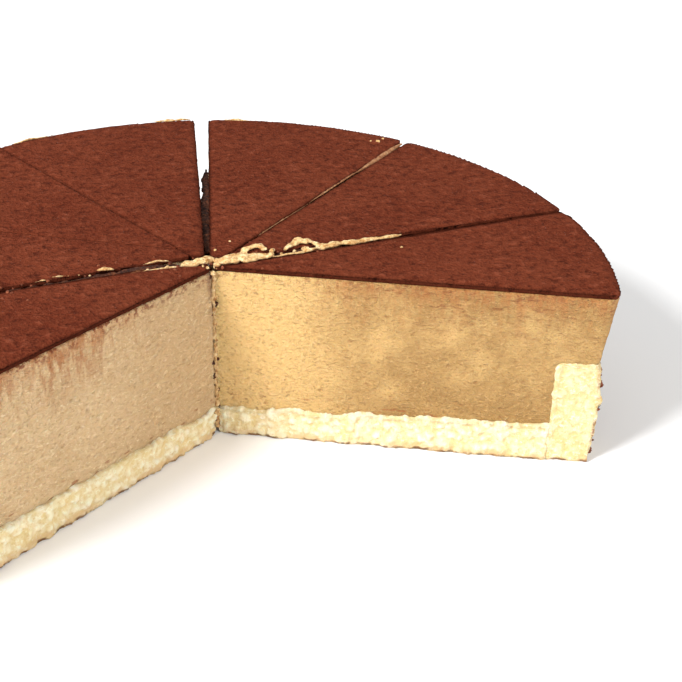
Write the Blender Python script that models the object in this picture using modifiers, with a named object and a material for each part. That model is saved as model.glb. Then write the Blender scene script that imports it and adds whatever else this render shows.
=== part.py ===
"""Round mousse cake with a cocoa top, cut into portions, with part of it taken out.

Metres, +Z up. The origin is under the middle of the cake's box, on the surface it stands on,
and the open gap faces -Y. Each portion left in the cake has four pieces: a sponge base, a sponge
rim with piped chocolate lines, the mousse filling, and the cocoa layer on top.
"""
import math

import bmesh
import bpy
from mathutils import Vector, noise

MM = 0.001

# Driving dimensions of the whole cake, in millimetres
CAKE_RADIUS = 130.0
CAKE_HEIGHT = 64.0
COCOA_THICKNESS = 1.8
BASE_HEIGHT_MIDDLE = 9.5
BASE_HEIGHT_RIM = 13.0
RIM_THICKNESS = 14.6
RIM_TOP = 38.0
RIM_WAVE = 2.2
SEAM = 0.3

# Wall of the cake, inwards from the widest radius
RIM_SET_BACK = 2.1
MOUSSE_SET_BACK_LOW = 4.2
MOUSSE_SET_BACK_TOP = 0.5

# Piped chocolate lines on the sponge rim
STRIPE_PITCH = 6.2
STRIPE_FIRST = -33.0
STRIPE_LAST = 213.0
STRIPE_LEAN = 12.5
STRIPE_RADIUS = 2.3
STRIPE_PROUD = 1.2
STRIPE_FOOT_SWELL = 0.5
STRIPE_TOP_MARGIN = 5.0
STRIPE_FOOT = 3.2
STRIPE_POINTS = 9

# Ragged cut side of the sponge base where the cake stands open
CRUMB_STEP = 4.0
CRUMB_STAND_OUT = 0.9
CRUMB_UNEVEN = 1.1

TURN_STEPS = 96
KNIFE_HALF_GAP = 0.3
CUTTER_REACH = 200.0

# Knife lines seen from above: a point on the line in millimetres from the cake's middle, and
# the line's direction in degrees. A portion lies to the left of each of its lines.
KNIFE_LINES = {
    1: [(3.3, -4.6, -29.2), (30.0, -2.5, 179.5)],
    2: [(30.0, -0.1, -2.1), (5.7, 2.5, 215.5)],
    3: [(5.7, 2.75, 36.3), (2.2, 8.6, 252.5), (2.0, 3.6, -25.0)],
    4: [(1.5, 8.8, 74.4), (-1.1, -0.4, 290.3), (0.0, 6.2, 0.8)],
    5: [(-1.1, -0.4, 110.3), (4.1, 6.4, 327.6)],
    6: [(4.1, 6.4, 147.6), (0.0, 6.4, 0.8), (-1.1, -0.4, 110.3)],
    7: [(-0.2, -3.3, 27.7), (-30.0, 3.7, 179.5), (-4.0, 1.3, 169.8), (-0.2, 0.0, 90.0)],
}
# The first line of these portions is a side that the gap leaves open
OPEN_SIDED = (1, 7)

# Colours as the eye reads them, 0 to 255, with roughness
FINISHES = {
    "cocoa": ((112, 57, 38), 0.95),
    "mousse": ((216, 180, 133), 0.6),
    "sponge": ((232, 208, 162), 0.9),
    "rim_sponge": ((220, 198, 150), 0.9),
}


def linear(value):
    """One colour channel from 0 to 255 as the renderer's linear value."""
    share = value / 255.0
    if share <= 0.04045:
        return share / 12.92
    return ((share + 0.055) / 1.055) ** 2.4


def make_material(name):
    colour, roughness = FINISHES[name]
    material = bpy.data.materials.new(name)
    material.use_nodes = True
    shader = material.node_tree.nodes["Principled BSDF"]
    shader.inputs["Base Color"].default_value = (*[linear(c) for c in colour], 1.0)
    shader.inputs["Roughness"].default_value = roughness
    shader.inputs["Metallic"].default_value = 0.0
    return material


def make_collection(name):
    collection = bpy.data.collections.new(name)
    bpy.context.scene.collection.children.link(collection)
    return collection


def add_object(name, data, collection):
    obj = bpy.data.objects.new(name, data)
    collection.objects.link(obj)
    return obj


def baked_mesh(obj, name):
    """The object's evaluated shape as a mesh of its own; the object is removed."""
    bpy.context.view_layer.update()
    graph = bpy.context.evaluated_depsgraph_get()
    mesh = bpy.data.meshes.new_from_object(obj.evaluated_get(graph))
    mesh.name = name
    bpy.data.objects.remove(obj)
    return mesh


def rim_wave(angle):
    """Height of the sponge rim's uneven top edge above its mean, in millimetres."""
    return RIM_WAVE * (0.65 * math.sin(5 * angle + 0.6) + 0.35 * math.sin(13 * angle + 2.0))


def turned_mesh(name, profile, closed, cutters):
    """Turn a profile of (radius, height) points, then give the rim's top edge its wave."""
    count = len(profile)
    edges = [(i, i + 1) for i in range(count - 1)]
    if closed:
        edges.append((count - 1, 0))
    mesh = bpy.data.meshes.new(name)
    mesh.from_pydata([(r * MM, 0.0, z * MM) for r, z in profile], edges, [])
    obj = add_object(name, mesh, cutters)
    screw = obj.modifiers.new("turn", "SCREW")
    screw.steps = TURN_STEPS
    screw.render_steps = TURN_STEPS
    screw.use_merge_vertices = True
    screw.merge_threshold = 0.00001
    solid = baked_mesh(obj, name)
    for vertex in solid.vertices:
        x, y, z = vertex.co
        near_edge = abs(z / MM - RIM_TOP) < 1.0
        if near_edge and math.hypot(x, y) > 0.5 * CAKE_RADIUS * MM:
            vertex.co.z += rim_wave(math.atan2(y, x)) * MM
    return solid


def base_profile():
    outer = CAKE_RADIUS - RIM_SET_BACK - RIM_THICKNESS - SEAM
    return [(0.0, BASE_HEIGHT_MIDDLE), (0.5 * outer, 0.5 * (BASE_HEIGHT_MIDDLE + BASE_HEIGHT_RIM)),
            (outer, BASE_HEIGHT_RIM), (outer, 0.0), (0.0, 0.0)]


def rim_wall_radius(height):
    """Radius of the sponge rim's gently bulging wall at a height in millimetres."""
    share = height / RIM_TOP
    return CAKE_RADIUS - RIM_SET_BACK - 4.6 * (share - 0.48) ** 2


def rim_profile():
    inner = CAKE_RADIUS - RIM_SET_BACK - RIM_THICKNESS
    wall = [(rim_wall_radius(z), z) for z in (RIM_TOP - 1.6, 0.8 * RIM_TOP, 0.5 * RIM_TOP,
                                              0.2 * RIM_TOP, 0.0)]
    shoulder = (rim_wall_radius(RIM_TOP) - 1.4, RIM_TOP)
    return [(inner, RIM_TOP), shoulder, *wall, (inner, 0.0)]


def filling_profile():
    inner = CAKE_RADIUS - RIM_SET_BACK - RIM_THICKNESS - SEAM
    top = CAKE_HEIGHT - COCOA_THICKNESS - SEAM
    foot = RIM_TOP + SEAM
    wall = []
    for share in (1.0, 0.75, 0.5, 0.25, 0.0):
        set_back = MOUSSE_SET_BACK_LOW + share * (MOUSSE_SET_BACK_TOP - MOUSSE_SET_BACK_LOW)
        wall.append((CAKE_RADIUS - set_back, foot + share * (top - foot)))
    return [(0.0, top), *wall, (inner, foot), (inner, BASE_HEIGHT_RIM + SEAM),
            (0.5 * inner, 0.5 * (BASE_HEIGHT_MIDDLE + BASE_HEIGHT_RIM) + SEAM),
            (0.0, BASE_HEIGHT_MIDDLE + SEAM)]


def cocoa_profile():
    bottom = CAKE_HEIGHT - COCOA_THICKNESS
    corner = 1.2
    arc = []
    for degrees in (90, 60, 30, 0):
        angle = math.radians(degrees)
        arc.append((CAKE_RADIUS - corner + corner * math.cos(angle),
                    CAKE_HEIGHT - corner + corner * math.sin(angle)))
    return [(0.0, CAKE_HEIGHT), *arc, (CAKE_RADIUS - 0.3, bottom), (0.0, bottom)]


def stripe_curve(index, cutters):
    """One piped line that runs down the rim's wall, thicker towards its foot."""
    curve = bpy.data.curves.new("stripe_%d" % index, "CURVE")
    curve.dimensions = "3D"
    curve.bevel_depth = STRIPE_RADIUS * MM
    curve.bevel_resolution = 1
    curve.use_fill_caps = True
    spline = curve.splines.new("POLY")
    spline.points.add(STRIPE_POINTS - 1)
    start = STRIPE_FIRST + STRIPE_PITCH * index
    for i in range(STRIPE_POINTS):
        share = i / (STRIPE_POINTS - 1)
        wander = noise.noise(Vector((index * 3.7, share * 2.6, 0.4)))
        angle = math.radians(start + STRIPE_LEAN * share + 0.9 * wander)
        high = RIM_TOP + rim_wave(angle) - STRIPE_TOP_MARGIN
        height = high + share * (STRIPE_FOOT - high)
        swell = 1.0 + STRIPE_FOOT_SWELL * max(0.0, (share - 0.7) / 0.3)
        width = (0.86 + 0.16 * share + 0.12 * wander) * swell
        radius = rim_wall_radius(height) + STRIPE_PROUD - STRIPE_RADIUS * width
        point = spline.points[i]
        point.co = (radius * math.cos(angle) * MM, radius * math.sin(angle) * MM, height * MM, 1.0)
        point.radius = width
    return add_object(curve.name, curve, cutters)


def rim_with_stripes(cutters):
    """The whole sponge rim with its piped chocolate lines joined on."""
    stripes = make_collection("stripes")
    count = int((STRIPE_LAST - STRIPE_FIRST - STRIPE_LEAN) / STRIPE_PITCH) + 1
    for index in range(count):
        mesh = baked_mesh(stripe_curve(index, cutters), "stripe_mesh_%d" % index)
        welded = bmesh.new()
        welded.from_mesh(mesh)
        bmesh.ops.remove_doubles(welded, verts=welded.verts, dist=0.00001)
        bmesh.ops.recalc_face_normals(welded, faces=welded.faces)
        welded.to_mesh(mesh)
        welded.free()
        add_object("stripe_piece_%d" % index, mesh, stripes)
    ring = add_object("rim_ring", turned_mesh("rim_ring", rim_profile(), True, cutters), cutters)
    join = ring.modifiers.new("join stripes", "BOOLEAN")
    join.operation = "UNION"
    join.operand_type = "COLLECTION"
    join.collection = stripes
    mesh = baked_mesh(ring, "rim_whole")
    for obj in list(stripes.objects):
        bpy.data.objects.remove(obj)
    bpy.data.collections.remove(stripes)
    return mesh


def clip(polygon, line):
    """Keep the part of a polygon to the left of a knife line."""
    x, y, degrees = line
    turn = math.radians(degrees)
    normal = Vector((-math.sin(turn), math.cos(turn)))
    level = normal.dot(Vector((x, y))) + KNIFE_HALF_GAP
    kept = []
    for i, here in enumerate(polygon):
        before = polygon[i - 1]
        height_here = normal.dot(here) - level
        height_before = normal.dot(before) - level
        if (height_here < 0.0) != (height_before < 0.0):
            share = height_before / (height_before - height_here)
            kept.append(before.lerp(here, share))
        if height_here >= 0.0:
            kept.append(here)
    return kept


def portion_outline(number):
    reach = CUTTER_REACH
    outline = [Vector((-reach, -reach)), Vector((reach, -reach)),
               Vector((reach, reach)), Vector((-reach, reach))]
    for line in KNIFE_LINES[number]:
        outline = clip(outline, line)
    return outline


def ragged_outline(number):
    """The portion's outline with its open side made uneven, as torn sponge is."""
    outline = portion_outline(number)
    x, y, degrees = KNIFE_LINES[number][0]
    turn = math.radians(degrees)
    along = Vector((math.cos(turn), math.sin(turn)))
    outward = Vector((math.sin(turn), -math.cos(turn)))
    result = []
    for i, here in enumerate(outline):
        after = outline[(i + 1) % len(outline)]
        result.append(here)
        offset_here = outward.dot(here - Vector((x, y)))
        offset_after = outward.dot(after - Vector((x, y)))
        on_open_side = abs(offset_here + KNIFE_HALF_GAP) < 0.01
        if not (on_open_side and abs(offset_after + KNIFE_HALF_GAP) < 0.01):
            continue
        length = (after - here).length
        steps = int(length / CRUMB_STEP)
        for step in range(1, steps):
            point = here.lerp(after, step / steps)
            wander = noise.noise(Vector((along.dot(point) * 0.21, number * 5.0, 0.0)))
            result.append(point + outward * (CRUMB_STAND_OUT + CRUMB_UNEVEN * wander))
    return result


def outline_cutter(name, outline, cutters):
    """A tall prism over an outline, which a layer is trimmed with."""
    shape = bmesh.new()
    corners = [shape.verts.new((p.x * MM, p.y * MM, -20 * MM)) for p in outline]
    face = shape.faces.new(corners)
    lifted = bmesh.ops.extrude_face_region(shape, geom=[face])
    moved = [item for item in lifted["geom"] if isinstance(item, bmesh.types.BMVert)]
    bmesh.ops.translate(shape, verts=moved, vec=(0.0, 0.0, (CAKE_HEIGHT + 40) * MM))
    bmesh.ops.recalc_face_normals(shape, faces=shape.faces)
    mesh = bpy.data.meshes.new(name)
    shape.to_mesh(mesh)
    shape.free()
    cutter = add_object(name, mesh, cutters)
    cutter.hide_render = True
    cutter.display_type = "WIRE"
    return cutter


def portion_piece(name, layer, cutter, material, parts):
    """One layer of one portion: the whole layer trimmed to the portion's outline."""
    piece = add_object(name, layer.copy(), parts)
    piece.data.materials.clear()
    piece.data.materials.append(material)
    trim = piece.modifiers.new("portion", "BOOLEAN")
    trim.operation = "INTERSECT"
    trim.object = cutter
    return piece


def corner_y(line):
    """The Y in millimetres at which a knife line meets the cake's widest radius."""
    x, y, degrees = line
    turn = math.radians(degrees)
    along = Vector((math.cos(turn), math.sin(turn)))
    start = Vector((x, y)) + KNIFE_HALF_GAP * Vector((-along.y, along.x))
    middle = start.dot(along)
    reach = -middle + math.sqrt(middle ** 2 - start.length_squared + CAKE_RADIUS ** 2)
    return (start + along * reach).y


def build():
    for obj in list(bpy.data.objects):
        bpy.data.objects.remove(obj)
    parts = make_collection("mousse_cake")
    cutters = make_collection("cutters")
    layers = {
        "base": turned_mesh("base_whole", base_profile(), False, cutters),
        "rim": rim_with_stripes(cutters),
        "filling": turned_mesh("filling_whole", filling_profile(), False, cutters),
        "cocoa": turned_mesh("cocoa_whole", cocoa_profile(), False, cutters),
    }
    finishes = {"base": "sponge", "rim": "rim_sponge", "filling": "mousse", "cocoa": "cocoa"}
    materials = {layer: make_material(finish) for layer, finish in finishes.items()}

    # The cake's middle lies on the gap's side of the origin, which is under the middle of the box
    middle = bpy.data.objects.new("cake_middle", None)
    parts.objects.link(middle)
    middle.location.y = -0.5 * (CAKE_RADIUS + corner_y(KNIFE_LINES[1][0])) * MM

    for number in KNIFE_LINES:
        cutter = outline_cutter("knife_%d" % number, portion_outline(number), cutters)
        cutter.parent = middle
        base_cutter = cutter
        if number in OPEN_SIDED:
            outline = ragged_outline(number)
            base_cutter = outline_cutter("torn_side_%d" % number, outline, cutters)
            base_cutter.parent = middle
        for layer, mesh in layers.items():
            tool = base_cutter if layer == "base" else cutter
            name = "slice_%d_%s" % (number, layer)
            piece = portion_piece(name, mesh, tool, materials[layer], parts)
            piece.parent = middle
    bpy.context.view_layer.update()


build()
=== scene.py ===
"""The looks of a sliced mousse cake: cocoa top, mousse, sponge base and a rim with piped lines.

Every layer is a dense mesh made from the frame's own solid, roughened by noise. Metres, +Z up.
"""

import math

import bmesh
import bpy
import numpy as np
from mathutils import Matrix, Vector, noise


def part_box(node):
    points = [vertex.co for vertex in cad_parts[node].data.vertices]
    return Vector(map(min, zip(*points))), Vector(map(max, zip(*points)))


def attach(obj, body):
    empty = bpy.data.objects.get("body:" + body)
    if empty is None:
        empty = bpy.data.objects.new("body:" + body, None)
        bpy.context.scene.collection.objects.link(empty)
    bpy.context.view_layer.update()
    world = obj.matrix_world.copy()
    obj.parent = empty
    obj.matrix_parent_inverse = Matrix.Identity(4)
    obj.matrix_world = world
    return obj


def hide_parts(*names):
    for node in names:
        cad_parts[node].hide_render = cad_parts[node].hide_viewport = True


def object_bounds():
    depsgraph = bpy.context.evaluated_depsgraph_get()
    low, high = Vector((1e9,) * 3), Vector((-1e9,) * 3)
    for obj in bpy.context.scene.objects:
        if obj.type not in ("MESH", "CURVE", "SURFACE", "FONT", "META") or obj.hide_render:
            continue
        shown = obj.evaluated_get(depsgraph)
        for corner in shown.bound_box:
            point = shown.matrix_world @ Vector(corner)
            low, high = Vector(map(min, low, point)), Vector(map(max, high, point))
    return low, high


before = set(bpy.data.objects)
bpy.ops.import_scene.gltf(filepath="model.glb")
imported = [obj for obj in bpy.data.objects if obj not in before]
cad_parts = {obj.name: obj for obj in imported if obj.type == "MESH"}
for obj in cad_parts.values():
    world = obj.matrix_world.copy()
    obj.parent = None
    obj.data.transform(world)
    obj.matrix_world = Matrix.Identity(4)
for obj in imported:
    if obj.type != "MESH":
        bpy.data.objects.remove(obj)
CAD_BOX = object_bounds()

MM = 0.001
BODY = "root"
PORTIONS = range(1, 8)
# The portions beside the gap, the one whose open face gets painted warm light and the one whose tip
# is smudged
OPEN_SIDED = (1, 7)
PAINTED_WARM_LIGHT_PORTION = 1
SMUDGED_PORTION = 7

# The cake's sizes, read from the frame where it has them
CAKE_TOP = CAD_BOX[1].z
CAKE_RADIUS = 0.5 * (CAD_BOX[1].x - CAD_BOX[0].x)
CAKE_MIDDLE = Vector((0.5 * (CAD_BOX[1].x + CAD_BOX[0].x), CAD_BOX[1].y - CAKE_RADIUS))
BASE_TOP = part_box("slice_1_base")[1].z
RIM_TOP = 38.0 * MM
RIM_SET_BACK = 2.1 * MM
RIM_WAVE = 2.2 * MM
RIM_BULGE = 4.6 * MM
RIM_WIDEST = 0.48

# Knife lines as in the part's source: a point in millimetres from the cake's middle, a direction
# in degrees. A portion lies to the left of each of its lines.
KNIFE_LINES = {
    1: [(3.3, -4.6, -29.2), (30.0, -2.5, 179.5)],
    2: [(30.0, -0.1, -2.1), (5.7, 2.5, 215.5)],
    3: [(5.7, 2.75, 36.3), (2.2, 8.6, 252.5), (2.0, 3.6, -25.0)],
    4: [(1.5, 8.8, 74.4), (-1.1, -0.4, 290.3), (0.0, 6.2, 0.8)],
    5: [(-1.1, -0.4, 110.3), (4.1, 6.4, 327.6)],
    6: [(4.1, 6.4, 147.6), (0.0, 6.4, 0.8), (-1.1, -0.4, 110.3)],
    7: [(-0.2, -3.3, 27.7), (-30.0, 3.7, 179.5), (-4.0, 1.3, 169.8), (-0.2, 0.0, 90.0)],
}
KNIFE_HALF_GAP = 0.3 * MM
# How far each of those cuts stands open at the top, 1 for a plain gap and 0 for one pressed shut
CUT_OPEN = {
    1: (1, 1),
    2: (1, 0.45),
    3: (0.45, 1, 1),
    4: (1, 0.2, 1),
    5: (0.2, 0.1),
    6: (0.1, 1, 0.2),
    7: (1, 1, 1, 1),
}

# Where a cut that is open further than this meets the round edge, the corner is worn to a radius
WORN_IF_OPEN = 0.4
WORN_CORNER = 5.0 * MM

# One shut cut shows as a low step, in millimetres: one side stands up, the other has sunk
RIDGE_LINE = KNIFE_LINES[5][0]
RIDGE_STEP = {4: -0.3, 5: 0.2}

# Sponge reaches at least this far into the mousse, as the two have grown together
SEAM_OVERLAP = 0.6 * MM

# Voxel sizes of the dense meshes, on the open portions and on the others
VOXEL = {
    "filling": (0.78 * MM, 1.6 * MM),
    "base": (0.72 * MM, 1.7 * MM),
    "rim": (0.8 * MM, 1.02 * MM),
    "cocoa": (0.9 * MM, 1.0 * MM),
}

# Piped chocolate lines, as in the part's source, with more points and just outside the solid
STRIPE_PITCH = 6.2
STRIPE_FIRST = -33.0
STRIPE_LAST = 213.0
STRIPE_LEAN = 12.5
STRIPE_RADIUS = 2.3 * MM
STRIPE_PROUD = 1.2 * MM
STRIPE_FOOT_SWELL = 0.5
STRIPE_SWELL_FROM = 0.7
STRIPE_TOP_MARGIN = 5.0 * MM
STRIPE_FOOT = 3.2 * MM
STRIPE_LOWEST = 0.3 * MM
STRIPE_EDGE_MARGIN = 0.2 * MM
STRIPE_CUT_MARGIN = 0.6 * MM
STRIPE_POINTS = 22
STRIPE_FEWEST_POINTS = 4
STRIPE_SIDES = 12
STRIPE_COVER = 1.03
STRIPE_END_WIDTHS = (0.55, 0.85)

# Cream that the knife pulled up: how flat a ribbon is, and its knots as x, y and lift above the
# top and half width, in millimetres from the cake's middle
CREAM_STRANDS = [
    (0.3, [(1.8, 0.6, -0.7, 2.0), (5.5, 0.4, -0.35, 2.6), (10.0, -0.3, -0.2, 2.9),
           (15.0, -1.0, -0.2, 2.5), (20.5, -2.2, -0.4, 1.3)]),
    (0.45, [(9.8, 1.2, -0.2, 1.1), (13.0, 3.2, 0.3, 1.3), (16.5, 4.9, 0.6, 1.3),
            (18.6, 4.0, 0.8, 1.2), (19.4, 1.2, 0.4, 1.1)]),
    (0.7, [(20.6, -2.8, -0.2, 0.6), (26.2, -3.2, -0.1, 0.5), (31.5, -3.2, -0.1, 0.6),
           (37.0, -2.9, -0.2, 0.5)]),
    (0.45, [(25.6, 0.2, -0.3, 0.9), (28.6, 2.6, 0.3, 1.4), (31.5, 3.6, 0.6, 1.5),
            (35.0, 2.0, 0.5, 1.3), (37.6, -1.0, 0.0, 1.0)]),
    (0.4, [(36.0, -1.6, -0.4, 1.6), (44.0, -1.6, -0.3, 1.6), (51.0, -1.8, -0.3, 1.4),
           (58.0, -2.0, -0.4, 1.2), (67.0, -2.2, -0.6, 0.8)]),
    (0.5, [(-35.6, 7.0, -0.2, 0.5), (-32.2, 6.6, 0.1, 1.1), (-29.0, 5.6, -0.3, 0.5)]),
    (0.6, [(-48.5, 6.9, -0.2, 0.35), (-43.0, 6.4, -0.3, 0.45)]),
    (0.6, [(-55.0, 6.3, -0.3, 0.3), (-50.0, 6.1, -0.3, 0.3)]),
    (0.6, [(-20.4, 6.0, -0.3, 0.4), (-15.7, 6.1, -0.1, 0.5), (-11.0, 6.1, -0.3, 0.4)]),
    (0.3, [(-9.0, 3.2, -1.5, 1.8), (-5.0, 3.4, -1.3, 2.4), (-1.0, 3.4, -1.0, 2.5),
           (3.0, 2.4, -0.6, 1.8)]),
    (0.6, [(31.2, 123.9, -0.4, 0.5), (24.0, 125.6, -0.2, 0.8), (16.0, 126.9, -0.3, 0.4)]),
    (0.6, [(44.0, 119.8, -0.4, 0.4), (49.0, 117.8, -0.3, 0.7), (55.0, 115.1, -0.4, 0.3)]),
    (0.6, [(-22.0, 126.0, -0.4, 0.3), (-33.0, 123.6, -0.3, 0.5), (-42.0, 120.8, -0.4, 0.3)]),
    (0.5, [(-24.0, 2.9, -1.2, 0.6), (-16.0, 2.6, -0.9, 0.7), (-8.0, 1.4, -0.6, 0.8),
           (-3.0, 0.5, -0.4, 0.9)]),
]
# Lumps of the same cream, as x, y, lift and size
CREAM_LUMPS = [
    (21.4, 0.6, 0.0, 1.2), (20.2, -1.8, -0.1, 1.1), (32.1, -1.8, 0.0, 1.3),
    (24.0, -1.4, -0.6, 0.8), (28.6, -1.0, -0.8, 0.9), (-0.6, 0.9, -0.2, 1.1),
    (-4.6, 0.2, -0.3, 0.8), (1.6, -2.0, -0.8, 1.3), (-13.0, 2.6, -0.6, 0.8),
    (-19.5, 3.0, -0.9, 0.7), (-40.4, 6.0, -0.4, 0.5), (-37.4, 5.0, -0.6, 0.5),
]
# The torn edge of another cut, and dark strips in the cuts, partly cocoa that fell in and partly
# painted shade in their gaps, by the same measures
TORN_EDGE = [
    (17.9, 11.4, -0.5, 0.25), (38.1, 26.1, -0.45, 0.35), (70.5, 49.6, -0.45, 0.5),
    (102.0, 72.3, -0.6, 1.3),
]
FALLEN_COCOA_AND_SHADE_STRANDS = [
    [(-64.0, 5.0, -1.6, 0.9), (-45.0, 4.7, -1.6, 1.2), (-30.0, 4.4, -1.7, 1.7),
     (-18.0, 4.3, -1.7, 2.0), (-8.0, 4.2, -1.8, 1.8)],
    [(21.0, -1.2, -1.4, 1.3), (30.0, -1.2, -1.3, 1.4), (38.0, -1.4, -1.4, 1.2)],
    [(2.9, 11.0, -2.4, 1.7), (8.0, 29.3, -2.6, 2.2), (13.9, 48.5, -3.0, 2.1),
     (20.3, 67.6, -3.8, 1.6), (25.4, 84.0, -5.0, 0.8)],
    [(2.9, 12.0, -4.4, 1.8), (8.0, 29.3, -4.6, 2.2), (13.9, 48.5, -5.0, 2.1),
     (20.3, 67.6, -6.0, 1.4)],
]
# How ribbons are built: sides, rings from knot to knot, how far they wander and how they taper
STRAND_SIDES = 12
STRAND_RINGS = 7
STRAND_WANDER = 0.5 * MM
STRAND_END_WIDTH = 0.45
STRAND_TAPER = 0.3
COCOA_FLATNESS = 0.5

# Bits that have run together: their voxels, and how far they may stand above the top
SCRAP_VOXEL = 0.35 * MM
SCRAP_STAND = 1.6 * MM

# Loose pale crumbs as x, y and size, and how many of the other small bits are made or tried
PALE_CRUMBS = [
    (62.5, -11.0, 0.5), (-1.6, -3.0, 0.6), (-2.6, -1.4, 0.45), (4.4, 8.0, 0.5), (11.0, 12.5, 0.4),
    (94.0, 77.0, 0.9), (97.0, 79.0, 0.6), (91.5, 78.5, 0.5),
]
DARK_CRUMBS = 46
DARK_CRUMB_REACH = 70.0
WALL_CRUMB_TRIES = 3400
WALL_CRUMB_MARGIN = 2.5 * MM
TIP_SEAM_BITS = 64
# Heights in millimetres between which the crack at the tips holds cream, and the lowest dark bit
TIP_SEAM_FOOT = 2.0
TIP_SEAM_TOP = 62.5
TIP_SEAM_DARK_FROM = 5.0

# Camera: the place from which the picture was taken, worked out from the cake's round edge
CAMERA_PLACE = CAKE_MIDDLE + Vector((-102.3, -336.8)) * MM
CAMERA_HEIGHT = 243.6 * MM
CAMERA_HEADING = math.radians(23.84)
CAMERA_PITCH = math.radians(30.69)
CAMERA_ROLL = math.radians(1.69)
CAMERA_LENS = 65.06
CAMERA_SENSOR = 36.0

# Lights as place, size across and power, what they point at, and the studio's own light
LIGHTS = {
    "key": ((-2.6, -0.7, 2.1), 0.9, 150.0),
    "fill": ((1.2, -3.0, 1.6), 1.6, 62.0),
}
LIGHT_TARGET = (0.0, 0.0, 0.03)
STUDIO_STRENGTH = 0.62

# Floor, a little below the cake so that the two don't share a surface
FLOOR_SIZE = 6.0
FLOOR_HEIGHT = -0.2 * MM
FLOOR_GREY = 0.9

# Colours from 0 to 255, as the eye reads them
# On the cocoa the pit tone is painted shade in the relief's hollows; the crest and grain tones are
# painted highlights on its crests and grain
COCOA_TONES = {
    "darker": (103, 45, 27),
    "lighter": (113, 53, 33),
    "pit_shade": (78, 31, 18),
    "crest_highlight": (138, 72, 50),
    "highlit_grain": (134, 70, 46),
    "fleck": (62, 26, 16),
    "edge": (62, 24, 12),
}
# Each on plain mousse and on the face with painted warm light. On plain mousse near is darker than
# far, as painted shade by the tips; on the warm face far is darker, as stain and painted shade. The
# deep tone is painted shade in the relief's hollows, and the bright tones are painted highlights on
# its crests.
MOUSSE_TONES = {
    "near": ((212, 176, 130), (234, 193, 127)),
    "far": ((225, 191, 145), (173, 134, 79)),
    "painted_shade": ((190, 146, 98), (160, 113, 64)),
    "highlight_near": ((246, 220, 174), (246, 208, 148)),
    "highlight_far": ((250, 226, 182), (213, 172, 113)),
}
# Stains that cocoa left on the cut faces; the pore tone is painted shade in the mousse's pores
STAIN_AND_PORE_SHADE_TONES = {
    "shaded_pore": (168, 122, 80),
    "streak": (174, 102, 50),
    "mist": (186, 118, 64),
    "speck": (128, 56, 22),
    "tear": (134, 78, 40),
    "crack": (160, 92, 48),
    "smudge": (112, 72, 56),
}
# The pore and pit tones are painted shade between the sponge's clumps and in its hollows; the crest
# tone is a painted highlight on its crests
SPONGE_TONES = {
    "shaded_pore": (230, 201, 136),
    "pit_shade": (218, 184, 120),
    "crest_highlight": (255, 250, 222),
    "skin": (224, 186, 134),
    "darker_bottom_edge": (112, 66, 34),
    "powder": (134, 72, 44),
}
# Pale and middle tone of the two sponges
BASE_SPONGE = ((255, 245, 215), (250, 233, 191))
RIM_SPONGE = ((247, 231, 190), (240, 218, 168))
CHOCOLATE_TONES = {"darker": (46, 30, 27), "lighter": (66, 44, 38), "dusty": (104, 66, 48)}
# Dark, middle and light tone of each kind of scrap, and the dust, partly painted shade, and the
# painted shade on all of them
PULLED_CREAM = ((186, 136, 78), (228, 190, 132), (248, 222, 172))
COCOA_CRUMB = ((74, 34, 20), (122, 62, 38), (160, 92, 60))
# Tones far darker than the cocoa itself, partly painted shade in the gaps of the cuts
FALLEN_COCOA_AND_SHADE = ((36, 15, 7), (58, 27, 13), (88, 46, 24))
TORN_EDGE_TAN = ((128, 80, 50), (164, 116, 78), (196, 156, 114))
SCRAP_DUST_AND_SHADE = (120, 66, 36)
SCRAP_PAINTED_SHADE = (108, 60, 30)


def linear(colour):
    """Colour channels from 0 to 255, as the eye reads them, as linear RGBA."""
    shares = [c / 255.0 for c in colour]
    return (*[s / 12.92 if s <= 0.04045 else ((s + 0.055) / 1.055) ** 2.4 for s in shares], 1.0)


# Noise in numpy, the same on every run. The last number in each call is its seed.

def hashed(cells, seed):
    """A steady random number from 0 to 1 for each whole-number cell; large numbers mix its bits."""
    mask = np.int64(0xFFFFFFFF)
    mixed = (cells[:, 0] * 73856093 ^ cells[:, 1] * 19349663 ^ cells[:, 2] * 83492791) & mask
    mixed = (mixed + seed * 2654435) & mask
    mixed = ((mixed ^ (mixed >> 16)) * 73244475) & mask
    mixed = ((mixed ^ (mixed >> 15)) * 40503857) & mask
    mixed = mixed ^ (mixed >> 16)
    return mixed / float(0xFFFFFFFF)


def smooth_noise(points, size, seed):
    """Smooth noise from -1 to 1 with bumps of the given size; size may be one for each axis."""
    scaled = points / np.asarray(size)
    cell = np.floor(scaled).astype(np.int64)
    part = scaled - cell
    part = part * part * (3.0 - 2.0 * part)
    total = np.zeros(len(points))
    for corner in np.ndindex(2, 2, 2):
        corner = np.array(corner)
        weight = np.prod(np.where(corner, part, 1.0 - part), axis=1)
        total += weight * hashed(cell + corner, seed)
    return 2.0 * total - 1.0


def layered_noise(points, size, octaves, seed):
    """Smooth noise with finer and weaker layers on it, from -1 to 1."""
    total = np.zeros(len(points))
    for octave in range(octaves):
        total += smooth_noise(points, np.asarray(size) / 2 ** octave, seed + octave) / 2 ** octave
    return total / (2.0 - 0.5 ** (octaves - 1))


def bubbles(points, size, seed):
    """Distance to the nearest bubble's middle, as a share of size, and that bubble's own number."""
    scaled = points / size
    cell = np.floor(scaled).astype(np.int64)
    nearest = np.full(len(points), 9.0)
    owner = np.zeros(len(points))
    for step in np.ndindex(3, 3, 3):
        other = cell + np.array(step) - 1
        spots = [hashed(other, seed + k) for k in range(3)]
        middle = other + np.stack(spots, axis=1)
        distance = np.linalg.norm(scaled - middle, axis=1)
        closer = distance < nearest
        nearest = np.where(closer, distance, nearest)
        owner = np.where(closer, hashed(other, seed + 7), owner)
    return nearest, owner


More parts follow.
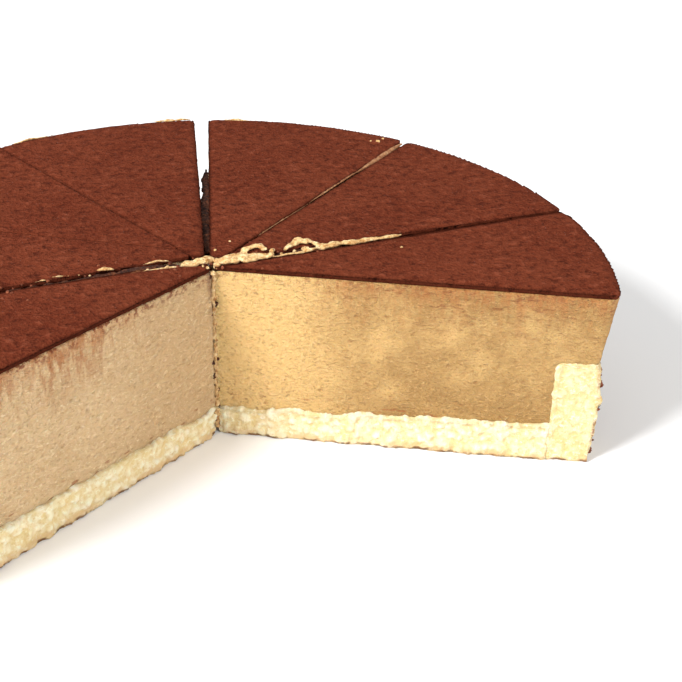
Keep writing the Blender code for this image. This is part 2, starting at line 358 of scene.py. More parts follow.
def ramp(values, low, high):
    """0 at low and 1 at high, with a soft start and end; low may be the larger one."""
    share = np.clip((values - low) / (high - low), 0.0, 1.0)
    return share * share * (3.0 - 2.0 * share)


# Dense meshes

def link(obj):
    bpy.context.scene.collection.objects.link(obj)
    return obj


def evened(mesh, voxel, name):
    """The outside of a mesh as one even, dense mesh; the given mesh is used up."""
    source = link(bpy.data.objects.new("source", mesh))
    remesh = source.modifiers.new("even", "REMESH")
    remesh.mode = "VOXEL"
    remesh.voxel_size = voxel
    remesh.use_smooth_shade = True
    bpy.context.view_layer.update()
    graph = bpy.context.evaluated_depsgraph_get()
    result = bpy.data.meshes.new_from_object(source.evaluated_get(graph))
    bpy.data.objects.remove(source)
    bpy.data.meshes.remove(mesh)
    result.name = name
    result.materials.clear()
    return result


def dense_mesh(layer, portion, name):
    """The solid of one layer of a portion as an even, dense mesh, and that solid's node."""
    node = "slice_%d_%s" % (portion, layer)
    voxel = VOXEL[layer][0 if portion in OPEN_SIDED else 1]
    return evened(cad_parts[node].data.copy(), voxel, name), node


def read_points(mesh):
    """The places and the normals of a mesh's points, as two arrays of rows."""
    points = np.empty(len(mesh.vertices) * 3)
    mesh.vertices.foreach_get("co", points)
    normals = np.empty(len(mesh.vertices) * 3)
    mesh.vertex_normals.foreach_get("vector", normals)
    return points.reshape(-1, 3), normals.reshape(-1, 3)


def write_points(mesh, points):
    mesh.vertices.foreach_set("co", points.astype(np.float32).ravel())
    mesh.update()


def write_mask(mesh, name, values):
    """Keep a value from 0 to 1 on each point, for the materials to read."""
    layer = mesh.attributes.new(name, "FLOAT", "POINT")
    layer.data.foreach_set("value", np.clip(values, 0.0, 1.0).astype(np.float32))


# Places on the cake

def from_middle(points):
    """Points as seen from above, from the cake's own middle."""
    return points[:, :2] - np.array(CAKE_MIDDLE)


def inward_from(line):
    """The direction, seen from above, in which a portion lies from one of its knife lines."""
    turn = math.radians(line[2])
    return np.array((-math.sin(turn), math.cos(turn)))


def knife_distance(points, line):
    """How far points lie inside a portion from one of its knife lines, in metres."""
    offset = from_middle(points) - np.array(line[:2]) * MM
    return offset @ inward_from(line) - KNIFE_HALF_GAP


def cuts(portion):
    """The knife lines of a portion, each with how far it stands open."""
    return zip(KNIFE_LINES[portion], CUT_OPEN[portion])


def nearest_cut(points, portion):
    """How far points lie inside a portion from the nearest of its cuts."""
    distances = [knife_distance(points, line) for line in KNIFE_LINES[portion]]
    return np.min(distances, axis=0)


def open_edge(points, portion, width):
    """1 at an open cut's edge, falling to 0 at the given width inside it."""
    result = np.zeros(len(points))
    for line, openness in cuts(portion):
        result = np.maximum(result, openness * ramp(knife_distance(points, line), width, 0.0))
    return result


def shut_cut(points, portion):
    """1 on the sides that lie against the next portion, where the cut hardly shows."""
    result = np.zeros(len(points))
    for line, openness in cuts(portion):
        near = ramp(np.abs(knife_distance(points, line)), 0.9 * MM, 0.3 * MM)
        result = np.maximum(result, (1.0 - openness) * near)
    return result


def wear_corners(points, portion):
    """Round the corners where open cuts meet the cake's round edge, seen from above."""
    flat = from_middle(points)
    radius = np.linalg.norm(flat, axis=1)
    from_edge = np.clip(WORN_CORNER - (CAKE_RADIUS - radius), 0.0, None)
    for line, openness in cuts(portion):
        if openness > WORN_IF_OPEN:
            from_cut = np.clip(WORN_CORNER - knife_distance(points, line), 0.0, None)
            far = np.maximum(np.hypot(from_cut, from_edge), WORN_CORNER)
            share = np.where((from_cut > 0.0) & (from_edge > 0.0), 1.0 - WORN_CORNER / far, 0.0)
            share *= ramp(points[:, 2], RIM_TOP - 2 * MM, RIM_TOP + 8 * MM)
            away = from_edge[:, None] * flat / radius[:, None]
            move = from_cut[:, None] * inward_from(line) - away
            points[:, :2] += share[:, None] * move


def seam_lift(points):
    """How far the border between base and mousse wanders up or down."""
    return 1.1 * MM * layered_noise(points * (1, 1, 0), 9 * MM, 3, 91)


def rim_wave(angle):
    """Height of the rim's uneven top edge above its mean, as in the part's source."""
    return RIM_WAVE * (0.65 * np.sin(5 * angle + 0.6) + 0.35 * np.sin(13 * angle + 2.0))


def rim_wall_radius(height):
    """The rim's outer wall, which bulges a little, as in the part's source."""
    return CAKE_RADIUS - RIM_SET_BACK - RIM_BULGE * (height / RIM_TOP - RIM_WIDEST) ** 2


def on_wall(angle, radius, height):
    """A place at an angle round the cake, and the direction outwards there."""
    outward = Vector((math.cos(angle), math.sin(angle), 0.0))
    return outward * radius + Vector((CAKE_MIDDLE.x, CAKE_MIDDLE.y, height)), outward


def on_cake(x, y, lift):
    """A place given in millimetres from the cake's middle and above its top."""
    return Vector((CAKE_MIDDLE.x + x * MM, CAKE_MIDDLE.y + y * MM, CAKE_TOP + lift * MM))


def inside_portion(spot, portion, margin):
    point = np.array([[spot.x, spot.y, spot.z]])
    return nearest_cut(point, portion)[0] > margin


# Materials

class Finish:
    """A small helper that wires one procedural material."""

    def __init__(self, name, roughness):
        self.material = bpy.data.materials.new(name)
        self.material.use_nodes = True
        self.tree = self.material.node_tree
        self.shader = self.tree.nodes["Principled BSDF"]
        self.shader.inputs["Roughness"].default_value = roughness
        self.place = self.tree.nodes.new("ShaderNodeTexCoord").outputs["Object"]

    def node(self, kind, **settings):
        made = self.tree.nodes.new(kind)
        for key, value in settings.items():
            setattr(made, key, value)
        return made

    def join(self, source, target):
        self.tree.links.new(source, target)

    def glossy(self, level):
        """How strongly the surface shines; powder hardly does."""
        self.shader.inputs["Specular IOR Level"].default_value = level

    def soften(self, weight, reach):
        """Let a little light pass into a soft food, the warm part of it furthest."""
        self.shader.inputs["Subsurface Weight"].default_value = weight
        self.shader.inputs["Subsurface Radius"].default_value = (1.0, 0.55, 0.25)
        self.shader.inputs["Subsurface Scale"].default_value = reach

    def noise(self, size, detail=3.0, stretch=(1.0, 1.0, 1.0), rough=0.55):
        """Noise from 0 to 1 with features about as large as size in metres."""
        scaled = self.node("ShaderNodeMapping")
        scaled.inputs["Scale"].default_value = [1.0 / (size * s) for s in stretch]
        made = self.node("ShaderNodeTexNoise")
        made.inputs["Scale"].default_value = 1.0
        made.inputs["Detail"].default_value = detail
        made.inputs["Roughness"].default_value = rough
        self.join(self.place, scaled.inputs["Vector"])
        self.join(scaled.outputs["Vector"], made.inputs["Vector"])
        return made.outputs["Fac"]

    def mask(self, name):
        return self.node("ShaderNodeAttribute", attribute_name=name).outputs["Fac"]

    def height(self):
        split = self.node("ShaderNodeSeparateXYZ")
        self.join(self.place, split.inputs["Vector"])
        return split.outputs["Z"]

    def spread(self, value, low, high, to_low=0.0, to_high=1.0):
        """Stretch the range from low to high to the range from to_low to to_high."""
        made = self.node("ShaderNodeMapRange", clamp=True, interpolation_type="SMOOTHSTEP")
        numbers = {"From Min": low, "From Max": high, "To Min": to_low, "To Max": to_high}
        for key, number in numbers.items():
            made.inputs[key].default_value = number
        self.join(value, made.inputs["Value"])
        return made.outputs["Result"]

    def times(self, product, *factors):
        """The product of a value and any factors, which are values or plain numbers."""
        for factor in factors:
            made = self.node("ShaderNodeMath", operation="MULTIPLY", use_clamp=True)
            self.join(product, made.inputs[0])
            if isinstance(factor, float):
                made.inputs[1].default_value = factor
            else:
                self.join(factor, made.inputs[1])
            product = made.outputs[0]
        return product

    def mix(self, amount, first, second):
        """Mix two colours; each is a colour from 0 to 255 or the output of another mix."""
        made = self.node("ShaderNodeMix", data_type="RGBA")
        self.join(amount, made.inputs["Factor"])
        for socket, value in ((made.inputs[6], first), (made.inputs[7], second)):
            if isinstance(value, tuple):
                socket.default_value = linear(value)
            else:
                self.join(value, socket)
        return made.outputs[2]

    def tint(self, colour, tone, *amounts):
        """Bring a colour towards a tone by the product of the amounts."""
        return self.mix(self.times(*amounts), colour, tone)

    def bump(self, value, depth, strength=1.0, after=None):
        made = self.node("ShaderNodeBump")
        made.inputs["Strength"].default_value = strength
        made.inputs["Distance"].default_value = depth
        self.join(value, made.inputs["Height"])
        if after:
            self.join(after, made.inputs["Normal"])
        return made.outputs["Normal"]

    def finish(self, colour, normal):
        self.join(colour, self.shader.inputs["Base Color"])
        self.join(normal, self.shader.inputs["Normal"])
        return self.material


def cocoa_finish():
    """Dry cocoa powder: uneven, grained, with dark flecks and darker edges, painted shade in its
    relief's hollows and painted highlights on its crests and grain.
    """
    look = Finish("cocoa_powder", 0.96)
    look.glossy(0.05)
    tones = COCOA_TONES
    broad = look.spread(look.noise(26 * MM, 4.0), 0.34, 0.7)
    colour = look.mix(broad, tones["darker"], tones["lighter"])
    relief = look.noise(3.2 * MM, 5.0, (1.15, 0.9, 1.0), 0.62)
    # Painted shade in the relief's hollows, and painted highlights on its crests and on the grain
    colour = look.tint(colour, tones["pit_shade"], look.spread(relief, 0.5, 0.34), 0.8)
    colour = look.tint(colour, tones["crest_highlight"], look.spread(relief, 0.54, 0.7), 0.7)
    highlit_grain = look.noise(0.9 * MM, 3.0)
    colour = look.tint(colour, tones["highlit_grain"], look.spread(highlit_grain, 0.5, 0.7), 0.5)
    flecks = look.spread(look.noise(2.1 * MM, 3.0, (1.3, 0.9, 1.0)), 0.64, 0.72)
    colour = look.tint(colour, tones["fleck"], flecks, 0.6)
    colour = look.tint(colour, tones["edge"], look.mask("edge"), 0.85)
    normal = look.bump(relief, 2.6 * MM)
    return look.finish(colour, look.bump(highlit_grain, 0.7 * MM, 1.0, normal))


def mousse_body(look, painted_warm_light, far, relief, fine):
    """The mousse's colour: in patches away from the tips, darker by the tips as painted shade on
    plain mousse, with painted shade in the hollows of its relief, painted highlights on its crests
    and painted shade in its pores.
    """
    # The warm copy of each tone is painted warm light, used on one open face
    tone = {key: look.mix(painted_warm_light, *pair) for key, pair in MOUSSE_TONES.items()}
    highlight = look.mix(far, tone["highlight_near"], tone["highlight_far"])
    patches = look.spread(look.noise(26 * MM, 3.0), 0.22, 0.6)
    # On plain mousse the tips are darker as painted shade; on the warm face the far side is darker,
    # as stain and painted shade
    colour = look.tint(tone["near"], tone["far"], far, patches)
    # Painted shade in the hollows and painted highlights on the crests, of the relief and of the
    # finer relief
    colour = look.tint(colour, tone["painted_shade"], look.spread(relief, 0.46, 0.28), 0.55)
    colour = look.tint(colour, highlight, look.spread(relief, 0.54, 0.72), 0.6)
    colour = look.tint(colour, tone["painted_shade"], look.spread(fine, 0.43, 0.28), 0.5)
    colour = look.tint(colour, highlight, look.spread(fine, 0.56, 0.72), 0.8)
    # Painted shade in the pores
    return look.tint(colour, STAIN_AND_PORE_SHADE_TONES["shaded_pore"], look.mask("shaded_pore"), 0.4)


def mousse_stains(look, colour, painted_warm_light, far):
    """Cocoa that the knife drew down the cut faces: streaks, mist, specks and torn places."""
    height = look.height()
    less = look.spread(painted_warm_light, 0.0, 1.0, 1.0, 0.5)
    upper = look.spread(height, CAKE_TOP - 26 * MM, CAKE_TOP - 5 * MM)
    streak = look.spread(look.noise(2.4 * MM, 5.0, (1.0, 1.0, 4.5), 0.7), 0.45, 0.62)
    patch = look.spread(look.noise(34 * MM, 2.0, (1.0, 1.0, 2.0)), 0.28, 0.55)
    colour = look.tint(colour, STAIN_AND_PORE_SHADE_TONES["streak"], upper, streak, patch, far, less, 0.75)
    band = look.spread(height, CAKE_TOP - 11 * MM, CAKE_TOP - 3 * MM)
    misty = look.spread(look.noise(3 * MM, 5.0, (1.0, 1.0, 2.0), 0.7), 0.38, 0.6)
    colour = look.tint(colour, STAIN_AND_PORE_SHADE_TONES["mist"], band, misty, far, 0.6)
    close = look.spread(height, CAKE_TOP - 7 * MM, CAKE_TOP - 2.2 * MM)
    specks = look.spread(look.noise(1.7 * MM, 4.0, (1.0, 1.0, 1.2), 0.65), 0.5, 0.6)
    colour = look.tint(colour, STAIN_AND_PORE_SHADE_TONES["speck"], close, specks, 0.85, less)
    tears = look.spread(look.noise(3.2 * MM, 5.0, (2.4, 2.4, 0.7), 0.65), 0.56, 0.64)
    colour = look.tint(colour, STAIN_AND_PORE_SHADE_TONES["tear"], tears, upper, painted_warm_light, far, 0.6)
    foot = look.spread(height, BASE_TOP + 5 * MM, BASE_TOP + 2 * MM)
    cracks = look.spread(look.noise(3.4 * MM, 4.0, (1.5, 1.5, 0.45)), 0.6, 0.68)
    colour = look.tint(colour, STAIN_AND_PORE_SHADE_TONES["crack"], foot, cracks, 0.7)
    smudge = look.spread(look.noise(3 * MM, 4.0), 0.4, 0.56)
    return look.tint(colour, STAIN_AND_PORE_SHADE_TONES["smudge"], look.mask("tip"), smudge, 0.7)


def mousse_finish():
    """Pale coffee mousse, with painted warm light on the right one of the two open faces."""
    look = Finish("coffee_mousse", 0.58)
    look.glossy(0.3)
    look.soften(0.25, 3 * MM)
    painted_warm_light = look.mask("painted_warm_light")
    far = look.mask("far")
    relief = look.noise(1.9 * MM, 5.0, (1.2, 1.2, 0.8), 0.65)
    fine = look.noise(0.9 * MM, 3.0, (1.3, 1.3, 0.8), 0.6)
    colour = mousse_body(look, painted_warm_light, far, relief, fine)
    colour = mousse_stains(look, colour, painted_warm_light, far)
    normal = look.bump(relief, 2.6 * MM)
    return look.finish(colour, look.bump(fine, 1.0 * MM, 1.0, normal))


def sponge_finish(name, pale, middle, dusted):
    """Open sponge crumb with painted shade between its clumps and in its hollows, painted
    highlights on its crests, a tan baked skin low down and a darker edge at the very bottom, and
    cocoa dust on its wall where dusted.
    """
    look = Finish(name, 0.9)
    look.glossy(0.2)
    look.soften(0.2, 2 * MM)
    colour = look.mix(look.spread(look.noise(7 * MM, 3.0), 0.38, 0.66), pale, middle)
    # Painted shade in the open cells and between the clumps
    colour = look.tint(colour, SPONGE_TONES["shaded_pore"], look.mask("shaded_pore"), 0.75)
    relief = look.noise(1.5 * MM, 5.0, rough=0.7)
    # Painted shade in the relief's hollows and painted highlights on its crests
    colour = look.tint(colour, SPONGE_TONES["pit_shade"], look.spread(relief, 0.48, 0.3), 0.7)
    colour = look.tint(colour, SPONGE_TONES["crest_highlight"], look.spread(relief, 0.52, 0.66), 0.8)
    skin = look.spread(look.height(), 3.6 * MM, 1.4 * MM)
    baked = look.spread(look.noise(6 * MM, 3.0), 0.34, 0.56)
    colour = look.tint(colour, SPONGE_TONES["skin"], skin, baked, 0.8)
    # Darker towards the very bottom
    darker_bottom_edge = look.spread(look.height(), 1.3 * MM, 0.4 * MM)
    dark = look.spread(look.noise(5 * MM, 4.0), 0.42, 0.58)
    colour = look.tint(colour, SPONGE_TONES["darker_bottom_edge"], darker_bottom_edge, dark, 0.85)
    if dusted:
        dust = look.spread(look.noise(2.0 * MM, 5.0, rough=0.75), 0.44, 0.56)
        patch = look.spread(look.noise(15 * MM, 2.0), 0.3, 0.56)
        colour = look.tint(colour, SPONGE_TONES["powder"], dust, patch, look.mask("wall"), 0.85)
    return look.finish(colour, look.bump(relief, 1.6 * MM))


def chocolate_finish():
    """Piped dark chocolate, dusty in places."""
    look = Finish("dark_chocolate", 0.55)
    tone = look.spread(look.noise(5 * MM, 3.0), 0.35, 0.7)
    colour = look.mix(tone, CHOCOLATE_TONES["darker"], CHOCOLATE_TONES["lighter"])
    dusty = look.spread(look.noise(1.4 * MM, 4.0), 0.55, 0.75)
    colour = look.tint(colour, CHOCOLATE_TONES["dusty"], dusty, 0.5)
    return look.finish(colour, look.bump(look.noise(1.8 * MM, 4.0), 0.4 * MM, 0.7))


def scrap_finish(name, dark, middle, light):
    """Small bits in three tones, rough all over, with painted shade where they lie low and face -Y.
    """
    look = Finish(name, 0.75)
    look.glossy(0.25)
    tone = look.noise(1.7 * MM, 4.0)
    colour = look.mix(look.spread(tone, 0.32, 0.5), dark, middle)
    colour = look.mix(look.spread(tone, 0.52, 0.68), colour, light)
    # Brown dust on the scraps: cocoa dust, and partly painted shade
    dust = look.spread(look.noise(1.3 * MM, 5.0, rough=0.7), 0.5, 0.61)
    colour = look.tint(colour, SCRAP_DUST_AND_SHADE, dust, 0.55)
    colour = look.tint(colour, SCRAP_PAINTED_SHADE, look.mask("painted_shade"), 0.85)
    return look.finish(colour, look.bump(look.noise(0.9 * MM, 4.0), 0.9 * MM))


# Layers of a portion

def add_piece(name, mesh, material, slot, *nodes):
    """Put a mesh in the scene, on the cake's body and in place of the nodes given."""
    piece = link(bpy.data.objects.new(name, mesh))
    mesh.materials.append(material)
    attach(piece, BODY)
    if nodes:
        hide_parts(*nodes)


def cocoa_piece(portion, material):
    """The cocoa layer: a powdery, slightly uneven top with crumbling edges."""
    name = "cocoa_top_%d" % portion
    mesh, node = dense_mesh("cocoa", portion, name)
    points, normals = read_points(mesh)
    up = ramp(normals[:, 2], 0.2, 0.8)
    side = 1.0 - ramp(np.abs(normals[:, 2]), 0.3, 0.9)
    outer = CAKE_RADIUS - np.linalg.norm(from_middle(points), axis=1)
    near = np.maximum(open_edge(points, portion, 2.4 * MM), ramp(outer, 2.4 * MM, 0.0))
    shut = shut_cut(points, portion)
    sink = 0.25 * MM * (1.0 + layered_noise(points, 17 * MM, 3, 11))
    sink += 0.13 * MM * (1.0 + layered_noise(points, (3.0 * MM, 1.6 * MM, 2 * MM), 3, 12))
    rounded = 0.55 * MM * near * (1.0 + 0.5 * layered_noise(points, 5 * MM, 2, 13))
    rounded += 0.35 * MM * ramp(outer, 5 * MM, 0.0)
    points[:, 2] -= up * (sink + rounded)
    ragged = 0.3 * MM * layered_noise(points, 4 * MM, 3, 14) - 0.1 * MM
    ragged = ragged * (1.0 - shut) + 0.4 * MM * shut
    ridge = np.abs(knife_distance(points, RIDGE_LINE))
    points[:, 2] += up * ramp(ridge, 3.0 * MM, 0.4 * MM) * RIDGE_STEP.get(portion, 0.0) * MM
    points += normals * (side * ragged)[:, None]
    points[:, 2] -= 0.55 * MM * ramp(-normals[:, 2], 0.15, 0.6)
    wear_corners(points, portion)
    write_points(mesh, points)
    round_edge = 0.6 * ramp(outer, 1.3 * MM, 0.0)
    write_mask(mesh, "edge", np.maximum(open_edge(points, portion, 1.7 * MM), round_edge))
    add_piece(name, mesh, material, "cocoa", node)


def mousse_masks(mesh, points, portion):
    """Where the mousse is away from the tips, smudged at one tip, and where one face gets painted
    warm light.
    """
    away = np.linalg.norm(from_middle(points), axis=1)
    write_mask(mesh, "far", ramp(away, 18 * MM, 62 * MM))
    high = ramp(points[:, 2], CAKE_TOP - 24 * MM, CAKE_TOP - 8 * MM)
    write_mask(mesh, "tip", high * ramp(away, 5.5 * MM, 3.5 * MM) * (portion == SMUDGED_PORTION))
    # Painted warm light: the open face of this portion is tinted warmer than the rest of the mousse
    lit_face = ramp(knife_distance(points, KNIFE_LINES[PAINTED_WARM_LIGHT_PORTION][0]), 3 * MM, 1.5 * MM)
    write_mask(mesh, "painted_warm_light", lit_face * (portion == PAINTED_WARM_LIGHT_PORTION))


def mousse_piece(portion, material):
    """The mousse: smooth cut faces with knife ripples, small pores and a soft uneven wall."""
    name = "mousse_%d" % portion
    mesh, node = dense_mesh("filling", portion, name)
    points, normals = read_points(mesh)
    side = 1.0 - ramp(np.abs(normals[:, 2]), 0.5, 0.9)
    shift = 0.28 * MM * layered_noise(points, 18 * MM, 2, 21)
    shift += 0.2 * MM * layered_noise(points, (5 * MM, 5 * MM, 1.9 * MM), 3, 22)
    distance, owner = bubbles(points * (1, 1, 1.6), 4.2 * MM, 23)
    shaded_pore = ramp(distance, 0.24, 0.1) * (owner > 0.84)
    small_distance, small_owner = bubbles(points, 2.2 * MM, 24)
    small = ramp(small_distance, 0.34, 0.14) * (small_owner > 0.86)
    shift -= 0.5 * MM * shaded_pore + 0.3 * MM * small
    points += normals * (side * shift)[:, None]
    low = ramp(points[:, 2], BASE_TOP + 14 * MM, BASE_TOP + 1 * MM)
    bottom = ramp(points[:, 2], BASE_TOP + 4 * MM, BASE_TOP + 2 * MM)
    under = ramp(-normals[:, 2], 0.15, 0.6) * bottom
    points[:, 2] += low * seam_lift(points) - 0.5 * MM * under
    wear_corners(points, portion)
    write_points(mesh, points)
    # Where the pores are, for the painted shade in them
    write_mask(mesh, "shaded_pore", np.maximum(shaded_pore, 0.7 * small))
    mousse_masks(mesh, points, portion)
    add_piece(name, mesh, material, "mousse", node)


def crumbly(points, depth, seed):
    """How torn sponge departs from its smooth form, and where its open cells and the gaps between
    its clumps are, which the colour darkens as painted shade.
    """
    bends = [smooth_noise(points, 2.2 * MM, seed + k) for k in (2, 3, 4)]
    distance, owner = bubbles(points + 1.0 * MM * np.stack(bends, axis=1), 2.7 * MM, seed)
    clump = 1.0 - ramp(distance, 0.2, 0.75)
    torn = ramp(owner, 0.7, 0.95)
    broad = 0.7 * layered_noise(points, 7 * MM, 3, seed + 1)
    shift = depth * (broad + 0.85 * (clump - 0.45) - 0.8 * torn * clump)
    return shift, np.clip(1.0 - 1.1 * clump + 0.5 * torn, 0.0, 1.0)


def seam_reach(points, seed):
    """How far sponge has grown into the mousse, uneven so that the border is no clean line."""
    return SEAM_OVERLAP + 0.55 * MM * (1.0 + layered_noise(points, 5 * MM, 3, seed))


def push_sponge(points, normals, shift):
    """Move sponge along its normals, but keep its underside flat and on the surface."""
    off_underside = 1.0 - ramp(-normals[:, 2], 0.5, 0.9)
    points += normals * (shift * off_underside)[:, None]


def base_piece(portion, material):
    """The sponge base: torn at the open cuts, and grown into the mousse on top."""
    name = "sponge_base_%d" % portion
    mesh, node = dense_mesh("base", portion, name)
    points, normals = read_points(mesh)
    depth = 0.95 * MM if portion in OPEN_SIDED else 0.4 * MM
    shift, shaded_pore = crumbly(points, depth, 31)
    inner = ramp(nearest_cut(points, portion), 1 * MM, 3 * MM)
    hidden_top = ramp(normals[:, 2], 0.6, 0.95) * inner
    reach = seam_reach(points, 95) * ramp(normals[:, 2], 0.15, 0.6)
    push_sponge(points, normals, shift * (1.0 - hidden_top) + reach)
    points[:, 2] += ramp(points[:, 2], 1 * MM, BASE_TOP - 3 * MM) * seam_lift(points)
    points[:, 2] = np.maximum(points[:, 2], 0.0)
    write_points(mesh, points)
    write_mask(mesh, "shaded_pore", shaded_pore)
    add_piece(name, mesh, material, "sponge", node)


def rim_piece(portion, material):
    """The sponge rim: torn at its cut ends, smoother on its wall, and grown into the mousse."""
    name = "sponge_rim_%d" % portion
    mesh, node = dense_mesh("rim", portion, name)
    points, normals = read_points(mesh)
    flat = from_middle(points)
    radius = np.linalg.norm(flat, axis=1)
    wall = ramp(radius - rim_wall_radius(points[:, 2]), -1.4 * MM, -0.6 * MM)
    shift, shaded_pore = crumbly(points, 0.7 * MM, 51)
    shift = np.where(wall > 0.5, np.minimum(shift, 0.25 * MM), shift)
    inward = ramp(-np.sum(normals[:, :2] * flat, axis=1) / radius, 0.15, 0.6)
    top_inside = ramp(radius, CAKE_RADIUS - 3.2 * MM, CAKE_RADIUS - 5 * MM)
    upward = ramp(normals[:, 2], 0.15, 0.6) * top_inside
    shift += seam_reach(points, 97) * np.maximum(inward, upward)
    push_sponge(points, normals, shift)
    points[:, 2] = np.maximum(points[:, 2], 0.0)
    write_points(mesh, points)
    write_mask(mesh, "shaded_pore", shaded_pore)
    write_mask(mesh, "wall", wall)
    add_piece(name, mesh, material, "rim_sponge", node)


# Piped lines

def merged(name, shapes):
    """One mesh from many lists of vertices and faces."""
    all_verts = []
    all_faces = []
    for verts, faces in shapes:
        start = len(all_verts)
        all_verts.extend(verts)
        all_faces.extend(tuple(start + i for i in face) for face in faces)
    mesh = bpy.data.meshes.new(name)
    mesh.from_pydata([tuple(v) for v in all_verts], [], all_faces)
    mesh.validate()
    mesh.shade_smooth()
    mesh.update()
    return mesh


def ring_faces(count, sides, flipped=False):
    """Faces of a closed tube of rings; flipped is for rings that turn the other way."""
    walls = []
    for low in range(0, (count - 1) * sides, sides):
        high = low + sides
        for side in range(sides):
            after = (side + 1) % sides
            walls.append((low + side, low + after, high + after, high + side))
    caps = [tuple(reversed(range(sides))), tuple(range((count - 1) * sides, count * sides))]
    if flipped:
        walls = [(a, d, c, b) for a, b, c, d in walls]
        caps = [tuple(reversed(cap)) for cap in caps]
    return walls + caps


def stripe_path(index):
    """Angle, height, distance from the middle and width along a piped line, from the top down."""
    start = STRIPE_FIRST + STRIPE_PITCH * index
    for i in range(STRIPE_POINTS):
        share = i / (STRIPE_POINTS - 1)
        wander = noise.noise(Vector((index * 3.7, share * 2.6, 0.4)))
        angle = math.radians(start + STRIPE_LEAN * share + 0.9 * wander)
        high = RIM_TOP + rim_wave(angle) - STRIPE_TOP_MARGIN
        height = high + share * (STRIPE_FOOT - high)
        foot = max(0.0, (share - STRIPE_SWELL_FROM) / 0.3)
        swell = 1.0 + STRIPE_FOOT_SWELL * foot
        lumpy = noise.noise(Vector((index * 1.3, share * 7.0, 2.1)))
        width = STRIPE_RADIUS * (0.88 + 0.16 * share + 0.12 * wander + 0.1 * lumpy) * swell
        yield angle, height, rim_wall_radius(height) + STRIPE_PROUD - width, width


def tube(path):
    """A closed tube along a path of (place, outward, radius)."""
    verts = []
    count = len(path)
    for i, (place, outward, radius) in enumerate(path):
        ahead = path[min(i + 1, count - 1)][0] - path[max(i - 1, 0)][0]
        along = ahead.normalized()
        across = along.cross(outward).normalized()
        lift = across.cross(along).normalized()
        for side in range(STRIPE_SIDES):
            turn = 2 * math.pi * side / STRIPE_SIDES
            verts.append(place + (across * math.cos(turn) + lift * math.sin(turn)) * radius)
    return verts, ring_faces(count, STRIPE_SIDES)


def stripe_run(index, portion):
    """The part of one piped line that lies on a portion, narrower towards both ends."""
    run = []
    for angle, height, radius, width in stripe_path(index):
        place, outward = on_wall(angle, radius, height)
        if inside_portion(place, portion, STRIPE_CUT_MARGIN):
            run.append((place, outward, width * STRIPE_COVER))
    if len(run) < STRIPE_FEWEST_POINTS:
        return []
    for i, share in enumerate(STRIPE_END_WIDTHS):
        for end in (i, -1 - i):
            place, outward, width = run[end]
            run[end] = (place, outward, width * share)
    return run


def piped_lines(portion, material):
    """The chocolate lines on one portion's rim, cut off where the knife went through."""
    name = "piped_lines_%d" % portion
    count = int((STRIPE_LAST - STRIPE_FIRST - STRIPE_LEAN) / STRIPE_PITCH) + 1
    runs = [stripe_run(index, portion) for index in range(count)]
    mesh = merged(name, [tube(run) for run in runs if run])
    points, normals = read_points(mesh)
    points += normals * (0.16 * MM * layered_noise(points, 2.6 * MM, 2, 71))[:, None]
    points[:, 2] = np.maximum(points[:, 2], STRIPE_LOWEST)
    flat = from_middle(points)
    radius = np.linalg.norm(flat, axis=1)
    over = np.minimum(1.0, (CAKE_RADIUS - STRIPE_EDGE_MARGIN) / radius)
    points[:, :2] = flat * over[:, None] + np.array(CAKE_MIDDLE)
    write_points(mesh, points)
    add_piece(name, mesh, material, "rim_sponge")


# Scraps and crumbs

def lump(seed, place, size, flat=0.75):
    """An uneven crumb as vertices and faces, with its own size, turn and shape."""
    shape = bmesh.new()
    bmesh.ops.create_icosphere(shape, subdivisions=2, radius=1.0)
    turn = Matrix.Rotation(seed * 2.4, 3, "Z") @ Matrix.Rotation(seed * 1.7, 3, "X")
    verts = []
    for vertex in shape.verts:
        push = noise.noise(vertex.co * 1.4 + Vector((seed * 5.1, 0.0, 0.0)))
        fine = noise.noise(vertex.co * 3.1 + Vector((seed * 3.3, 4.0, 0.0)))
        spot = vertex.co * (1.0 + 0.55 * push + 0.35 * fine)
        verts.append(place + turn @ Vector((spot.x, spot.y * 0.8, spot.z * flat)) * size)
    faces = [tuple(v.index for v in f.verts) for f in shape.faces]
    shape.free()
    return verts, faces


def strand_path(knots, seed):
    """Places and half widths along a ribbon through knots of (x, y, lift, half width)."""
    count = (len(knots) - 1) * STRAND_RINGS + 1
    spots = []
    for i in range(count):
        share = i / STRAND_RINGS
        low = min(int(share), len(knots) - 2)
        mix = share - low
        values = [a + (b - a) * mix for a, b in zip(knots[low], knots[low + 1])]
        bend = [noise.noise(Vector((share * 1.3, seed * 2.7, 0.6 + 5.3 * k))) for k in range(3)]
        end = min(1.0, STRAND_END_WIDTH + min(i, count - 1 - i) * STRAND_TAPER)
        uneven = 1.0 + 0.6 * noise.noise(Vector((share * 2.3, seed * 1.9, 3.0)))
        place = on_cake(*values[:3]) + Vector(bend) * STRAND_WANDER
        spots.append((place, values[3] * end * uneven * MM))
    return spots


def strand(knots, flat, seed):
    """A soft, uneven ribbon through knots, as vertices and faces."""
    spots = strand_path(knots, seed)
    count = len(spots)
    verts = []
    for i, (place, wide) in enumerate(spots):
        along = spots[min(i + 1, count - 1)][0] - spots[max(i - 1, 0)][0]
        across = along.cross(Vector((0.0, 0.0, 1.0))).normalized()
        for side in range(STRAND_SIDES):
            turn = 2 * math.pi * side / STRAND_SIDES
            lift = Vector((0.0, 0.0, math.sin(turn) * wide * flat))
            verts.append(place + across * math.cos(turn) * wide + lift)
    return verts, ring_faces(count, STRAND_SIDES, True)


